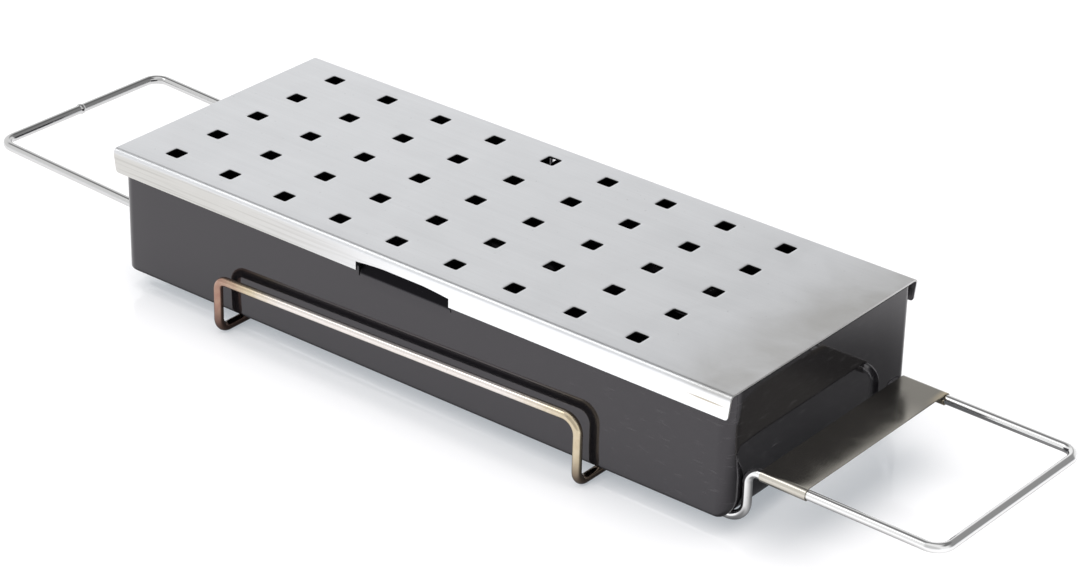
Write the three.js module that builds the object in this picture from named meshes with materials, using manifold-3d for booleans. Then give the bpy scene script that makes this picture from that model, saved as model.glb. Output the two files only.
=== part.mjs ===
// Grill smoker box: a perforated sheet lid on a drawn steel tray, carried by a cradle of two bent wire loops.
// A thin plate is rolled round both wires of one handle.
// Millimetres, +Z up, the floor at 0, +X toward the handle with the plate, +Y toward the back.
import * as THREE from 'three';
import { mergeVertices } from 'three/addons/utils/BufferGeometryUtils.js';
import Module from 'manifold-3d';

const wasm = await Module();
wasm.setup();

// General
const clearance = 0.3; // air left between pieces that touch or are welded
const cutOver = 5; // how far every cutting body reaches past what it cuts

// Wire of both loops
const wireDiameter = 3.8;
const wireSides = 12;
const bendSteps = 6;
const wireRadius = wireDiameter / 2;

// Tray: straight walls, a soft edge round its floor, open at the top
const trayCentreX = 0.2;
const trayHalfX = 150.3;
const trayHalfY = 58.2;
const trayDepth = 51.9;
const trayWall = 0.9;
const trayCorner = 6;
const trayFloorRound = 2.4;
const trayCornerSteps = 6;
const trayFloorSteps = 4;

// Rail loop, the lower one: two cross runs on the floor and a side rail at the front and at the back
const railGap = 3.1; // air between a side rail and the tray's wall
const railLeftX = -93.8;
const railRightX = 85.9;
const railHalfY = trayHalfY + railGap + wireRadius;
const crossRunZ = wireRadius;
const railLeftZ = 24.4; // the side rails climb a little toward the right
const railRightZ = 29;
const railLeftBend = 4.5;
const railRightBend = 6.5;
const footBend = 5;

// Handle loop, the upper one: it lies on the cross runs and rises to a handle at each end
const postGap = 1.3; // air between a handle's posts and the tray's end
const handleHalfY = 45;
const handleLength = 83.3;
const handleRise = 21.7;
const postBend = 5;
const gripBend = 6.5;
const handlePostX = trayHalfX + postGap + wireRadius;
const handleReachX = handlePostX + handleLength;
const handleRunZ = crossRunZ + wireDiameter + clearance;
const handleZ = handleRunZ + handleRise;
const leftHandleRise = THREE.MathUtils.degToRad(1.6);
const leftGripZ = handleZ + handleLength * Math.tan(leftHandleRise);
const handleTurn = THREE.MathUtils.degToRad(-1.12); // the loop is welded on slightly askew
const handleShiftY = -1.2;

// Welds: a squeezed-out collar where a loop is closed, and a saddle at each crossing
const buttRadius = 2.3;
const buttHalf = 0.9;
const buttRound = 0.5;
const saddleRadius = 2.9;
const saddleSteps = 12;

// Plate of the right handle
const plateThick = 0.45;
const plateWidth = 20.2;
const plateInnerX = handlePostX + postBend + clearance;
const plateOuterX = plateInnerX + plateWidth;
const hemWrap = THREE.MathUtils.degToRad(285);
const hemSteps = 14;

// Heights that the wires give to the tray
const trayBottomZ = handleRunZ + wireRadius + clearance;
const trayRimZ = trayBottomZ + trayDepth;

// Lid
const sheet = 0.8;
const lidBend = 2.2;
const lidBendSteps = 5;
const rimInBendShare = 0.7; // how far into the inner bend the tray's rim stands
const lidOverhangX = 1.05;
const lidShiftX = -1.05; // the lid lies pushed to the left as far as its overhang
const skirtHeight = 10.1;
const skirtEndSlant = 0.9;
const skirtCorner = 2.4;
const lidCentreX = trayCentreX + lidShiftX;
const lidHalfX = trayHalfX + lidOverhangX;
const lidHalfY = trayHalfY + rimInBendShare * (lidBend - sheet) + sheet;
const lidTopZ = trayRimZ + clearance + sheet;
const skirtLowZ = lidTopZ - skirtHeight;

// Finger notches in the skirts, slightly left of the lid's middle
const notchShiftX = -1.05;
const notchHalfX = 22.9;
const notchEndHeight = 3.6;
const notchArch = 1.4;
const notchCentreX = lidCentreX + notchShiftX;

// Tabs under the notches: the tray's wall is slit twice from its rim and the piece between leans inward
const slitWidth = 0.5;
const foldBelowSkirt = 3;
const tabBend = 2.2;
const tabTurn = THREE.MathUtils.degToRad(22);
const tabBendSteps = 4;
const tabCorner = 11; // both free corners of a tab are widely rounded
const tabCornerSteps = 8;
const tabHalfX = notchHalfX - slitWidth;
const foldZ = skirtLowZ - foldBelowSkirt;
const tabFlat = trayRimZ - foldZ - (tabBend - trayWall / 2) * tabTurn;

// Square holes in the lid
const holeColumns = 9;
const holeRows = 5;
const holeFromLeft = 21.6; // from the lid's edge to the middle of the nearest hole
const holeFromRight = 51.5;
const holeFromSide = 13.4;
const holeSide = 6.4;
const holeCorner = 0.7;
const holeCornerSteps = 2;
const holePitchX = (2 * lidHalfX - holeFromLeft - holeFromRight) / (holeColumns - 1);
const holePitchY = (2 * lidHalfY - 2 * holeFromSide) / (holeRows - 1);
const firstHoleX = lidCentreX - lidHalfX + holeFromLeft;
const firstHoleY = holeFromSide - lidHalfY;

// Turns any closed three.js geometry into a body that can be added, cut or intersected
function body(geometry) {
  geometry.deleteAttribute('normal');
  geometry.deleteAttribute('uv');
  const merged = mergeVertices(geometry);
  return new wasm.Manifold(new wasm.Mesh({
    numProp: 3,
    vertProperties: new Float32Array(merged.attributes.position.array),
    triVerts: new Uint32Array(merged.index.array),
  }));
}

// Turns a body back into a named mesh with its own material
function namedMesh(name, solid, look) {
  const data = solid.getMesh();
  const geometry = new THREE.BufferGeometry();
  geometry.setAttribute('position', new THREE.BufferAttribute(new Float32Array(data.vertProperties), 3));
  geometry.setIndex(new THREE.BufferAttribute(new Uint32Array(data.triVerts), 1));
  geometry.computeVertexNormals();
  const mesh = new THREE.Mesh(geometry, new THREE.MeshStandardMaterial(look));
  mesh.name = name;
  return mesh;
}

// A bent wire's route: straight runs between corners, each corner rounded with its own radius.
// Rings stand only where the wire starts, bends and ends, so straight runs cost nothing.
class WireRoute extends THREE.Curve {
  constructor(corners) {
    super();
    this.stations = [];
    const last = corners.length - 1;
    const heading = (from, to) => to.at.clone().sub(from.at).normalize();
    this.stations.push({ at: corners[0].at, along: heading(corners[0], corners[1]) });
    for (let i = 1; i < last; i += 1) {
      this.addBend(corners[i], heading(corners[i - 1], corners[i]), heading(corners[i], corners[i + 1]));
    }
    this.stations.push({ at: corners[last].at, along: heading(corners[last - 1], corners[last]) });
  }

  addBend(corner, before, after) {
    const turn = before.angleTo(after);
    const toward = after.clone().addScaledVector(before, -before.dot(after)).normalize();
    const start = corner.at.clone().addScaledVector(before, -corner.bend * Math.tan(turn / 2));
    for (let step = 0; step <= bendSteps; step += 1) {
      const angle = (turn * step) / bendSteps;
      const at = start.clone()
        .addScaledVector(before, corner.bend * Math.sin(angle))
        .addScaledVector(toward, corner.bend * (1 - Math.cos(angle)));
      const along = before.clone().multiplyScalar(Math.cos(angle)).addScaledVector(toward, Math.sin(angle));
      this.stations.push({ at, along });
    }
  }

  station(share) {
    return this.stations[Math.round(share * (this.stations.length - 1))];
  }

  getPointAt(share, target = new THREE.Vector3()) {
    return target.copy(this.station(share).at);
  }

  getTangentAt(share, target = new THREE.Vector3()) {
    return target.copy(this.station(share).along);
  }
}

// A many-sided section whose flats, not its corners, stand at the given radius
function wireSection(radius, sides) {
  const outer = radius / Math.cos(Math.PI / sides);
  const points = [];
  for (let i = 0; i < sides; i += 1) {
    const angle = ((i + 0.5) / sides) * 2 * Math.PI;
    points.push(new THREE.Vector2(outer * Math.cos(angle), outer * Math.sin(angle)));
  }
  return new THREE.Shape(points);
}

function wireAlong(route, radius = wireRadius, sides = wireSides) {
  return body(new THREE.ExtrudeGeometry(wireSection(radius, sides), {
    extrudePath: route,
    steps: route.stations.length - 1,
  }));
}

// Joins rings of equal count into a closed skin, from the first ring to the last
function loft(rings) {
  const count = rings[0].length;
  const positions = rings.flat().flatMap((point) => [point.x, point.y, point.z]);
  const index = [];
  for (let ring = 0; ring < rings.length - 1; ring += 1) {
    for (let i = 0; i < count; i += 1) {
      const a = ring * count + i;
      const b = ring * count + ((i + 1) % count);
      index.push(a, b, b + count, a, b + count, a + count);
    }
  }
  const top = (rings.length - 1) * count;
  for (let i = 1; i < count - 1; i += 1) {
    index.push(0, i + 1, i);
    index.push(top, top + i, top + i + 1);
  }
  const geometry = new THREE.BufferGeometry();
  geometry.setAttribute('position', new THREE.Float32BufferAttribute(positions, 3));
  geometry.setIndex(index);
  return body(geometry);
}

// A level rectangle with rounded corners, counter-clockwise seen from above
function roundedRing(halfX, halfY, corner, z) {
  const points = [];
  for (let quarter = 0; quarter < 4; quarter += 1) {
    const signX = quarter === 0 || quarter === 3 ? 1 : -1;
    const signY = quarter < 2 ? 1 : -1;
    for (let step = 0; step <= trayCornerSteps; step += 1) {
      const angle = (quarter + step / trayCornerSteps) * (Math.PI / 2);
      points.push(new THREE.Vector3(
        trayCentreX + signX * (halfX - corner) + corner * Math.cos(angle),
        signY * (halfY - corner) + corner * Math.sin(angle),
        z,
      ));
    }
  }
  return points;
}

// The drawn shape of the tray taken in by an inset: 0 gives its outside, the wall thickness its inside
function trayForm(inset, topZ) {
  const corner = trayCorner - inset;
  const round = trayFloorRound - inset;
  const floorZ = trayBottomZ + inset;
  const rings = [];
  for (let step = 0; step <= trayFloorSteps; step += 1) {
    const angle = ((step / trayFloorSteps) * Math.PI) / 2;
    const draw = round * (1 - Math.sin(angle));
    rings.push(roundedRing(
      trayHalfX - inset - draw,
      trayHalfY - inset - draw,
      corner - draw,
      floorZ + round * (1 - Math.cos(angle)),
    ));
  }
  rings.push(roundedRing(trayHalfX - inset, trayHalfY - inset, corner, topZ));
  return loft(rings);
}

// Lays an extrusion down: its outline's x and y become Y and Z, and its depth runs along X from a start
function layAlongX(geometry, startX) {
  geometry.applyMatrix4(new THREE.Matrix4().makeBasis(
    new THREE.Vector3(0, 1, 0),
    new THREE.Vector3(0, 0, 1),
    new THREE.Vector3(1, 0, 0),
  ));
  geometry.translate(startX, 0, 0);
  return geometry;
}

// A tab seen from the front: square at its root, with both upper corners rounded
function tabOutline() {
  const topZ = foldZ + tabBend * Math.sin(tabTurn) + tabFlat * Math.cos(tabTurn);
  const centreZ = topZ - tabCorner;
  const reach = tabHalfX - tabCorner;
  const outline = new THREE.Shape();
  outline.moveTo(notchCentreX - tabHalfX, foldZ - cutOver);
  outline.lineTo(notchCentreX + tabHalfX, foldZ - cutOver);
  outline.absarc(notchCentreX + reach, centreZ, tabCorner, 0, Math.PI / 2, false);
  outline.absarc(notchCentreX - reach, centreZ, tabCorner, Math.PI / 2, Math.PI, false);
  return outline;
}

// The leaning tab of one long wall (side -1 is the front): its root in the wall, the bend and the flat
function tabForm(side) {
  const centreY = trayHalfY - tabBend;
  const at = (radius, angle, out) => new THREE.Vector2(
    side * (centreY + radius * Math.cos(angle) - out * Math.sin(angle)),
    foldZ + radius * Math.sin(angle) + out * Math.cos(angle),
  );
  const outer = [new THREE.Vector2(side * trayHalfY, foldZ - trayWall)];
  const inner = [new THREE.Vector2(side * (trayHalfY - trayWall), foldZ - trayWall)];
  for (let step = 0; step <= tabBendSteps; step += 1) {
    const angle = (step / tabBendSteps) * tabTurn;
    outer.push(at(tabBend, angle, 0));
    inner.push(at(tabBend - trayWall, angle, 0));
  }
  outer.push(at(tabBend, tabTurn, tabFlat));
  inner.push(at(tabBend - trayWall, tabTurn, tabFlat));
  const profile = new THREE.Shape([...outer, ...inner.reverse()]);
  const sheetStrip = new THREE.ExtrudeGeometry(profile, {
    depth: 2 * (tabHalfX + cutOver),
    bevelEnabled: false,
  });
  layAlongX(sheetStrip, notchCentreX - tabHalfX - cutOver);
  const across = new THREE.ExtrudeGeometry(tabOutline(), {
    depth: 2 * (trayHalfY + cutOver),
    bevelEnabled: false,
    curveSegments: tabCornerSteps,
  });
  across.rotateX(Math.PI / 2);
  across.translate(0, trayHalfY + cutOver, 0);
  return body(sheetStrip).intersect(body(across));
}

function makeTray() {
  const shell = trayForm(0, trayRimZ).subtract(trayForm(trayWall, trayRimZ + cutOver));
  const gapHeight = trayRimZ + cutOver - foldZ;
  const gap = new THREE.BoxGeometry(2 * notchHalfX, 2 * (trayHalfY + cutOver), gapHeight);
  gap.translate(notchCentreX, 0, foldZ + gapHeight / 2);
  return shell.subtract(body(gap)).add(tabForm(-1)).add(tabForm(1));
}

// The lid's section across its length: a flat top and two skirts bent down with rounded bends
function lidSection() {
  const high = lidTopZ - lidBend;
  const innerBend = lidBend - sheet;
  const section = new THREE.Shape();
  section.moveTo(-lidHalfY, skirtLowZ);
  section.lineTo(-lidHalfY, high);
  section.absarc(-lidHalfY + lidBend, high, lidBend, Math.PI, Math.PI / 2, true);
  section.lineTo(lidHalfY - lidBend, lidTopZ);
  section.absarc(lidHalfY - lidBend, high, lidBend, Math.PI / 2, 0, true);
  section.lineTo(lidHalfY, skirtLowZ);
  section.lineTo(lidHalfY - sheet, skirtLowZ);
  section.lineTo(lidHalfY - sheet, high);
  section.absarc(lidHalfY - lidBend, high, innerBend, 0, Math.PI / 2, false);
  section.lineTo(-lidHalfY + lidBend, lidTopZ - sheet);
  section.absarc(-lidHalfY + lidBend, high, innerBend, Math.PI / 2, Math.PI, false);
  section.lineTo(-lidHalfY + sheet, skirtLowZ);
  return section;
}

// The lid seen from the side: slanted skirt ends with rounded lower corners, and the arched notch
function lidSideView() {
  const high = lidTopZ - lidBend;
  const low = skirtLowZ + skirtCorner;
  const lowHalf = lidHalfX - skirtEndSlant;
  const notchTopZ = skirtLowZ + notchEndHeight;
  const view = new THREE.Shape();
  view.moveTo(lidCentreX - lidHalfX, lidTopZ + cutOver);
  view.lineTo(lidCentreX - lidHalfX, high);
  view.lineTo(lidCentreX - lowHalf, low);
  view.absarc(lidCentreX - lowHalf + skirtCorner, low, skirtCorner, Math.PI, Math.PI * 1.5, false);
  view.lineTo(notchCentreX - notchHalfX, skirtLowZ);
  view.lineTo(notchCentreX - notchHalfX, notchTopZ);
  view.quadraticCurveTo(notchCentreX, notchTopZ + 2 * notchArch, notchCentreX + notchHalfX, notchTopZ);
  view.lineTo(notchCentreX + notchHalfX, skirtLowZ);
  view.absarc(lidCentreX + lowHalf - skirtCorner, low, skirtCorner, Math.PI * 1.5, Math.PI * 2, false);
  view.lineTo(lidCentreX + lidHalfX, high);
  view.lineTo(lidCentreX + lidHalfX, lidTopZ + cutOver);
  return view;
}

// One punched square with small corner radii
function holeOutline(x, y) {
  const half = holeSide / 2;
  const core = half - holeCorner;
  const outline = new THREE.Shape();
  outline.absarc(x + core, y + core, holeCorner, 0, Math.PI / 2, false);
  outline.absarc(x - core, y + core, holeCorner, Math.PI / 2, Math.PI, false);
  outline.absarc(x - core, y - core, holeCorner, Math.PI, Math.PI * 1.5, false);
  outline.absarc(x + core, y - core, holeCorner, Math.PI * 1.5, Math.PI * 2, false);
  return outline;
}

function makeLid() {
  const along = new THREE.ExtrudeGeometry(lidSection(), {
    depth: 2 * (lidHalfX + cutOver),
    bevelEnabled: false,
    curveSegments: lidBendSteps,
  });
  layAlongX(along, lidCentreX - lidHalfX - cutOver);
  const across = new THREE.ExtrudeGeometry(lidSideView(), {
    depth: 2 * (lidHalfY + cutOver),
    bevelEnabled: false,
    curveSegments: lidBendSteps,
  });
  across.rotateX(Math.PI / 2);
  across.translate(0, lidHalfY + cutOver, 0);
  const outlines = [];
  for (let column = 0; column < holeColumns; column += 1) {
    for (let row = 0; row < holeRows; row += 1) {
      outlines.push(holeOutline(firstHoleX + column * holePitchX, firstHoleY + row * holePitchY));
    }
  }
  const punches = new THREE.ExtrudeGeometry(outlines, {
    depth: sheet + 2 * cutOver,
    bevelEnabled: false,
    curveSegments: holeCornerSteps,
  });
  punches.translate(0, 0, lidTopZ - sheet - cutOver);
  return body(along).intersect(body(across)).subtract(body(punches));
}

const corner = (x, y, z, bend) => ({ at: new THREE.Vector3(x, y, z), bend });

function railRoute() {
  return new WireRoute([
    corner(railLeftX, -clearance, crossRunZ, 0),
    corner(railLeftX, -railHalfY, crossRunZ, footBend),
    corner(railLeftX, -railHalfY, railLeftZ, railLeftBend),
    corner(railRightX, -railHalfY, railRightZ, railRightBend),
    corner(railRightX, -railHalfY, crossRunZ, footBend),
    corner(railRightX, railHalfY, crossRunZ, footBend),
    corner(railRightX, railHalfY, railRightZ, railRightBend),
    corner(railLeftX, railHalfY, railLeftZ, railLeftBend),
    corner(railLeftX, railHalfY, crossRunZ, footBend),
    corner(railLeftX, clearance, crossRunZ, 0),
  ]);
}

function handleRoute() {
  return new WireRoute([
    corner(-handleReachX, clearance, leftGripZ, 0),
    corner(-handleReachX, handleHalfY, leftGripZ, gripBend),
    corner(-handlePostX, handleHalfY, handleZ, postBend),
    corner(-handlePostX, handleHalfY, handleRunZ, postBend),
    corner(handlePostX, handleHalfY, handleRunZ, postBend),
    corner(handlePostX, handleHalfY, handleZ, postBend),
    corner(handleReachX, handleHalfY, handleZ, gripBend),
    corner(handleReachX, -handleHalfY, handleZ, gripBend),
    corner(handlePostX, -handleHalfY, handleZ, postBend),
    corner(handlePostX, -handleHalfY, handleRunZ, postBend),
    corner(-handlePostX, -handleHalfY, handleRunZ, postBend),
    corner(-handlePostX, -handleHalfY, handleZ, postBend),
    corner(-handleReachX, -handleHalfY, leftGripZ, gripBend),
    corner(-handleReachX, -clearance, leftGripZ, 0),
  ]);
}

// The handle loop's own turn and shift on the cradle
const handlePlace = new THREE.Matrix4().makeRotationZ(handleTurn).setPosition(0, handleShiftY, 0);

// The squeezed-out collar where the two ends of a loop are welded together, lying along Y
function buttWeld(x, z) {
  const half = [
    new THREE.Vector2(0, -buttHalf),
    new THREE.Vector2(wireRadius, -buttHalf),
    new THREE.Vector2(buttRadius, -buttHalf + buttRound),
    new THREE.Vector2(buttRadius, buttHalf - buttRound),
    new THREE.Vector2(wireRadius, buttHalf),
    new THREE.Vector2(0, buttHalf),
  ];
  const collar = new THREE.LatheGeometry(half, wireSides);
  collar.translate(x, 0, z);
  return body(collar);
}

function makeHandleWire() {
  return wireAlong(handleRoute()).add(buttWeld(-handleReachX, leftGripZ));
}

// A saddle of weld metal on each cross run, cut clear of the handle wire that lies in it
function crossingSaddles() {
  let saddles = null;
  for (const x of [railLeftX, railRightX]) {
    for (const side of [-1, 1]) {
      const y = handleShiftY + x * Math.tan(handleTurn) + (side * handleHalfY) / Math.cos(handleTurn);
      const bead = new THREE.SphereGeometry(saddleRadius, saddleSteps, saddleSteps);
      bead.translate(x, y, crossRunZ + wireRadius);
      saddles = saddles ? saddles.add(body(bead)) : body(bead);
    }
  }
  for (const side of [-1, 1]) {
    const run = new WireRoute([
      corner(-handlePostX, side * handleHalfY, handleRunZ, 0),
      corner(handlePostX, side * handleHalfY, handleRunZ, 0),
    ].map((end) => ({ at: end.at.applyMatrix4(handlePlace), bend: end.bend })));
    saddles = saddles.subtract(wireAlong(run, wireRadius + clearance, 2 * wireSides));
  }
  return saddles;
}

// The rail loop's closing weld lies under the tray, in the middle of the left cross run
function makeRailWire() {
  const closing = buttWeld(railLeftX, buttRadius);
  return wireAlong(railRoute()).add(closing).add(crossingSaddles());
}

// The plate's section: a flat strip on top of both wires whose ends are rolled round them
function plateSection() {
  const inner = wireRadius + clearance;
  const outer = inner + plateThick;
  const end = Math.PI / 2 + hemWrap;
  const section = new THREE.Shape();
  section.moveTo(0, handleZ + outer);
  section.lineTo(-handleHalfY, handleZ + outer);
  section.absarc(-handleHalfY, handleZ, outer, Math.PI / 2, end, false);
  section.absarc(-handleHalfY, handleZ, inner, end, Math.PI / 2, true);
  section.lineTo(handleHalfY, handleZ + inner);
  section.absarc(handleHalfY, handleZ, inner, Math.PI / 2, Math.PI - end, true);
  section.absarc(handleHalfY, handleZ, outer, Math.PI - end, Math.PI / 2, false);
  return section;
}

function makePlate() {
  const strip = new THREE.ExtrudeGeometry(plateSection(), {
    depth: plateWidth + 2 * cutOver,
    bevelEnabled: false,
    curveSegments: hemSteps,
  });
  layAlongX(strip, plateInnerX - cutOver).applyMatrix4(handlePlace);
  // The strip follows the wires, but its edges are trimmed square to the tray
  const trim = new THREE.BoxGeometry(plateWidth, 4 * handleHalfY, 2 * handleZ);
  trim.translate((plateInnerX + plateOuterX) / 2, 0, handleZ);
  return body(strip).intersect(body(trim));
}

const smokerBox = new THREE.Group();
smokerBox.name = 'grill_smoker_box';

const cradle = new THREE.Group();
cradle.name = 'cradle';
smokerBox.add(cradle);

const handleWire = namedMesh('handle_wire', makeHandleWire(), {
  color: 0xc9cacc,
  roughness: 0.18,
  metalness: 1,
});
handleWire.rotation.z = handleTurn;
handleWire.position.y = handleShiftY;
cradle.add(handleWire);

cradle.add(namedMesh('rail_wire', makeRailWire(), {
  color: 0xc8b99d,
  roughness: 0.2,
  metalness: 1,
}));

cradle.add(namedMesh('handle_plate', makePlate(), {
  color: 0xa7a49c,
  roughness: 0.28,
  metalness: 1,
}));

smokerBox.add(namedMesh('tray', makeTray(), {
  color: 0x4c4b4f,
  roughness: 0.3,
  metalness: 0.1,
}));

smokerBox.add(namedMesh('lid', makeLid(), {
  color: 0xc6c7ca,
  roughness: 0.35,
  metalness: 1,
}));

export default smokerBox;
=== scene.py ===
"""Dressed model of a grill smoker box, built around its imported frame.

Lengths are metres in the frame's own axes: +X along the box toward the handle with the plate, +Y to the back
and +Z up.
"""
import math

import bpy
import numpy as np
from bpy.props import FloatProperty, FloatVectorProperty, PointerProperty
from mathutils import Matrix, Vector


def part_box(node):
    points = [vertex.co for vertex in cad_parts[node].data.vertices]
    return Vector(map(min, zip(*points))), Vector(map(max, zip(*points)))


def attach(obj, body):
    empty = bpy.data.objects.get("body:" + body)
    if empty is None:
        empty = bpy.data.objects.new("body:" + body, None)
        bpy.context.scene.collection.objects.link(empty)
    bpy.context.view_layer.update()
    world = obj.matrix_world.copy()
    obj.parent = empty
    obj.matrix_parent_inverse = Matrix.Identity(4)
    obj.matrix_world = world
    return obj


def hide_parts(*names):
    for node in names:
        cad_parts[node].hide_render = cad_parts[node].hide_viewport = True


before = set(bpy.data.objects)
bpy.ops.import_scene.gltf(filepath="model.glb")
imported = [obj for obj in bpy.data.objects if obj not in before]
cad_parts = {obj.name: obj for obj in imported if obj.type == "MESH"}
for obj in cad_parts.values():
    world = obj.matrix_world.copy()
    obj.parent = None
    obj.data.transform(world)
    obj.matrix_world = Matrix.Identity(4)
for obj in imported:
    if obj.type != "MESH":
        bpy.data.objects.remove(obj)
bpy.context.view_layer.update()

bl_info = {
    "name": "Grill smoker box",
    "version": (1, 0, 0),
    "blender": (4, 5, 0),
    "location": "3D View > Sidebar > Smoker box",
    "description": "Builds the lid, tray, wire cradle and handle plate of a grill smoker box",
    "category": "Object",
}

MM = 0.001
QUARTER = math.pi / 2
LID_LOW, LID_HIGH = (np.array(corner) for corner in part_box("lid"))
TRAY_LOW, TRAY_HIGH = (np.array(corner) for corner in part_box("tray"))
RAIL_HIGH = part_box("rail_wire")[1]
LID_HALF, TRAY_HALF = (LID_HIGH - LID_LOW) / 2, (TRAY_HIGH - TRAY_LOW) / 2
LID_MIDDLE, TRAY_MIDDLE = (LID_LOW[0] + LID_HIGH[0]) / 2, (TRAY_LOW[0] + TRAY_HIGH[0]) / 2
SKIRT = LID_HIGH[2] - LID_LOW[2]
NOTCH_MIDDLE = -1.9 * MM

# Camera of the photograph: where it stands, and its own right, up and backward directions
CAMERA_AT = (0.7434, -0.9221, 0.6571)
CAMERA_RIGHT = (0.8032717, 0.5939556, 0.0443991)
CAMERA_UP = (-0.3198325, 0.3672568, 0.8734012)
CAMERA_BACK = (0.5024557, -0.7157788, 0.4849733)
CAMERA_FOCUS = 3425.0
CAMERA_CENTRE = (704.0, 357.0)
PHOTO_SIZE = (1080.0, 570.0)
SENSOR = 36.0


def length(label, default, description):
    """A length property in metres."""
    return FloatProperty(name=label, description=description, default=default, unit="LENGTH", precision=5)


def angle(label, default, description):
    """An angle property, given in degrees and kept in radians."""
    return FloatProperty(name=label, description=description, default=math.radians(default), unit="ROTATION")


def colour(label, default, description):
    """A linear colour property."""
    return FloatVectorProperty(
        name=label, description=description, default=default, size=3, min=0, max=1, subtype="COLOR"
    )


class WireSizes(bpy.types.PropertyGroup):
    """Sizes of the two bent wire loops."""

    diameter: length("Wire diameter", 3.8 * MM, "Thickness of the drawn wire of both loops")
    rail_left: length("Left posts", -93.8 * MM, "X of the left cross run and its posts")
    rail_right: length("Right posts", 85.9 * MM, "X of the right cross run and its posts")
    rail_left_high: length("Rail height left", 24.4 * MM, "Height of a side rail's middle at its left end")
    rail_right_high: length("Rail height right", 29.0 * MM, "Height of a side rail's middle at its right end")
    rail_left_bend: length("Left rail bend", 4.5 * MM, "Bend radius where a rail meets its left post")
    rail_right_bend: length("Right rail bend", 6.5 * MM, "Bend radius where a rail meets its right post")
    foot_bend: length("Foot bend", 5.0 * MM, "Bend radius where a post turns into its cross run")
    collar_half: length("Weld collar", 1.0 * MM, "Half the width of the collar where a loop is welded shut")
    collar_proud: length("Collar height", 0.4 * MM, "How far a weld collar stands out of its wire")
    right_foot: length("Right foot bend", 8.0 * MM, "Bend radius where the right posts turn under the tray")
    post: length("Handle posts", 153.5 * MM, "Distance of the handles' posts from the middle")
    reach: length("Handle reach", 236.8 * MM, "Distance of the grips' outer bars from the middle")
    half: length("Handle half width", 45.0 * MM, "Half the distance between a handle's two side wires")
    run_high: length("Run height", 6.0 * MM, "Height of the middle of the handle loop's runs under the tray")
    handle_high: length("Handle height", 27.7 * MM, "Height of the middle of the right handle's wires")
    post_bend: length("Post bend", 5.0 * MM, "Bend radius at both ends of a handle's post")
    grip_bend: length("Grip bend", 6.5 * MM, "Bend radius at a grip's outer corners")
    left_rise: angle("Left grip rise", 1.6, "How far the left grip tips up")
    turn: angle("Loop turn", -1.12, "How far the handle loop is turned on the cradle")
    shift: length("Loop shift", -1.2 * MM, "How far the handle loop is shifted toward the front")


class SheetSizes(bpy.types.PropertyGroup):
    """Sizes of the lid, the tray and the handle plate."""

    lid_sheet: length("Lid sheet", 0.8 * MM, "Thickness of the lid's sheet")
    lid_bend: length("Lid bend", 2.2 * MM, "Outer radius of the bend between top and skirt")
    skirt_slant: length("Skirt slant", 0.9 * MM, "How far a skirt's end slants inward")
    skirt_corner: length("Skirt corner", 1.4 * MM, "Radius of a skirt's lower corners")
    notch_middle: length("Notch middle", NOTCH_MIDDLE, "X of the middle of the finger notches")
    notch_half: length("Notch half width", 22.9 * MM, "Half the width of a finger notch")
    notch_high: length("Notch height", 3.6 * MM, "Height of a notch at its ends")
    notch_arch: length("Notch arch", 1.4 * MM, "How far a notch's top arches up in its middle")
    hole_side: length("Hole side", 6.4 * MM, "Side of a punched hole")
    hole_corner: length("Hole corner", 0.7 * MM, "Corner radius of a punched hole")
    hole_left: length("Holes from left", 21.6 * MM, "From the lid's left edge to the first column's middle")
    hole_right: length("Holes from right", 51.5 * MM, "From the last column's middle to the lid's right edge")
    hole_edge: length("Holes from side", 13.4 * MM, "From a long edge to the nearest row's middle")
    tray_wall: length("Tray wall", 0.9 * MM, "Thickness of the tray's coated sheet")
    tray_corner: length("Tray corner", 6.0 * MM, "Radius of the tray's upright corners")
    tray_round: length("Tray floor edge", 1.8 * MM, "Radius of the edge between the floor and the long walls")
    left_round: length("Left floor edge", 1.1 * MM, "Radius of the floor's edge at the left end")
    right_draw: length("Right floor edge", 5.6 * MM, "How far the floor's edge is drawn in at the right end")
    right_lift: length("Right edge height", 8.0 * MM, "How high the floor's edge reaches up the right end")
    slit: length("Slit", 0.5 * MM, "Width of the slits beside a tab")
    fold_below: length("Fold below skirt", 3.0 * MM, "From a skirt's lower edge down to the tab's fold")
    tab_bend: length("Tab bend", 2.2 * MM, "Outer radius of the tab's bend")
    tab_turn: angle("Tab lean", 22.0, "How far a tab leans inward")
    tab_corner: length("Tab corner", 11.0 * MM, "Radius of a tab's free corners")
    plate_thick: length("Plate sheet", 0.45 * MM, "Thickness of the handle plate's sheet")
    plate_from: length("Plate inner edge", 158.8 * MM, "X of the plate's edge beside the tray")
    plate_to: length("Plate outer edge", 179.0 * MM, "X of the plate's outer edge")
    hem_gap: length("Hem gap", 0.1 * MM, "Air between a hem and the wire inside it")
    hem_wrap: angle("Hem wrap", 285.0, "How far a hem is rolled round its wire")


class FinishColours(bpy.types.PropertyGroup):
    """Colours of the finishes."""

    lid: colour("Lid steel", (0.79, 0.80, 0.82), "Satin stainless sheet of the lid")
    wire: colour("Wire steel", (0.82, 0.82, 0.82), "Bright wire of the handle loop")
    rail: colour("Rail steel", (0.78, 0.73, 0.70), "Bright wire of the rail loop between its tinted ends")
    straw: colour("Straw tint", (0.60, 0.51, 0.36), "Light heat tint")
    copper: colour("Copper tint", (0.36, 0.21, 0.165), "Strong heat tint")
    # Painted shade of the rail wire near the floor, under and beside the tray
    floor_shade: colour("Painted floor shade", (0.10, 0.065, 0.055), "Painted shade of the wire near the floor")
    plate: colour("Plate steel", (0.60, 0.57, 0.51), "Polished sheet of the handle plate")
    coat: colour("Tray coat", (0.010, 0.0095, 0.0112), "Black coat of the tray")


# Meshes


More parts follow.
